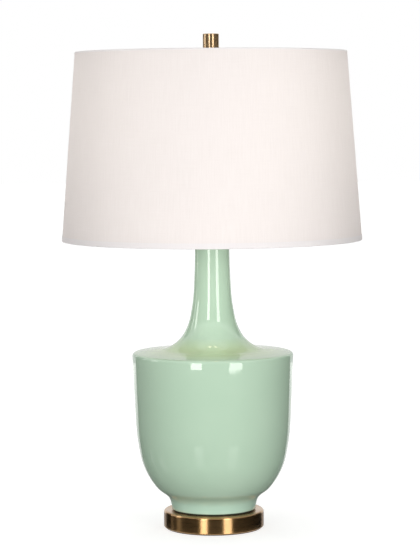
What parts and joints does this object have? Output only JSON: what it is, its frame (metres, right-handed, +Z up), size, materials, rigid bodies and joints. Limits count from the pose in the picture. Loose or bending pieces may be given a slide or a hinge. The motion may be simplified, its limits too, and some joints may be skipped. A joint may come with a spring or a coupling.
{
  "type": "table lamp",
  "caption": "Table lamp with a long-necked celadon ceramic body on a brass base, a harp with a bulb holder and a linen drum shade under a brass finial.",
  "frame": {"origin": "centre of the underside of the base, on the table", "axes": "+Z up along the lamp's axis, -Y towards the front where the switch knob is, +X to the right seen from the front"},
  "size_m": [0.4063, 0.4064, 0.6701],
  "materials": {
    "felt": "matt felt",
    "antique_brass": "brushed antique brass",
    "cast_iron": "rough cast",
    "steel": "zinc plated",
    "black_plastic": "satin",
    "gasket_rubber": "matt",
    "celadon_glaze": "glossy celadon glaze",
    "polished_brass": "polished",
    "socket_board": "fibre board",
    "switch_moulding": "moulded phenolic",
    "bare_aluminium": "bare",
    "frosted_glass": "frosted white",
    "black_glass": "opaque black glass",
    "solder": "soft solder",
    "white_linen": "white linen weave",
    "shade_backing": "white styrene",
    "white_wire": "white enamel"
  },
  "bodies": {
    "stand": {"felt_pad": "felt", "base_shell": "antique_brass", "base_weight": "cast_iron", "bottom_washer": "steel", "lock_washer": "steel", "bottom_nut": "steel", "cord_bushing": "black_plastic", "foot_gasket": "gasket_rubber", "ceramic_body": "celadon_glaze", "neck_cap": "polished_brass", "neck_check_ring": "polished_brass", "neck_spacer": "polished_brass", "centre_rod": "steel", "harp_saddle": "polished_brass", "harp_bow": "polished_brass", "harp_stud": "polished_brass", "socket_cap": "polished_brass", "socket_set_screw": "steel", "socket_shell": "polished_brass", "socket_liner": "socket_board", "switch_body": "switch_moulding", "terminal_screws": "polished_brass", "screw_shell": "bare_aluminium", "centre_contact": "polished_brass"},
    "switch": {"switch_stem": "bare_aluminium", "switch_knob": "black_plastic"},
    "bulb": {"bulb_glass": "frosted_glass", "bulb_screw_cap": "bare_aluminium", "bulb_insulator": "black_glass", "bulb_contact": "solder"},
    "sleeve_left": {"harp_sleeve_left": "polished_brass"},
    "sleeve_right": {"harp_sleeve_right": "polished_brass"},
    "shade": {"shade_fabric": "white_linen", "shade_liner": "shade_backing", "shade_bottom_trim": "white_linen", "shade_top_trim": "white_linen", "shade_bottom_ring": "white_wire", "shade_spider": "polished_brass"},
    "finial": {"finial": "antique_brass"}
  },
  "joints": [
    {"name": "switch_turn", "type": "hinge", "parent": "stand", "child": "switch", "pos_m": [0, -0.03, 0.4487], "axis": [0, 1, 0], "continuous": true},
    {"name": "bulb_turn", "type": "hinge", "parent": "stand", "child": "bulb", "pos_m": [0, 0, 0.475], "axis": [0, 0, 1], "range_deg": [0, 1440]},
    {"name": "sleeve_left_lift", "type": "slide", "parent": "stand", "child": "sleeve_left", "axis": [0, 0, 1], "range_m": [0, 0.012]},
    {"name": "sleeve_right_lift", "type": "slide", "parent": "stand", "child": "sleeve_right", "axis": [0, 0, 1], "range_m": [0, 0.012]},
    {"name": "shade_swivel", "type": "hinge", "parent": "stand", "child": "shade", "pos_m": [0, 0, 0.631], "axis": [0, 0, 1], "continuous": true},
    {"name": "finial_turn", "type": "hinge", "parent": "stand", "child": "finial", "pos_m": [0, 0, 0.638], "axis": [0, 0, 1], "range_deg": [0, 3960]}
  ]
}
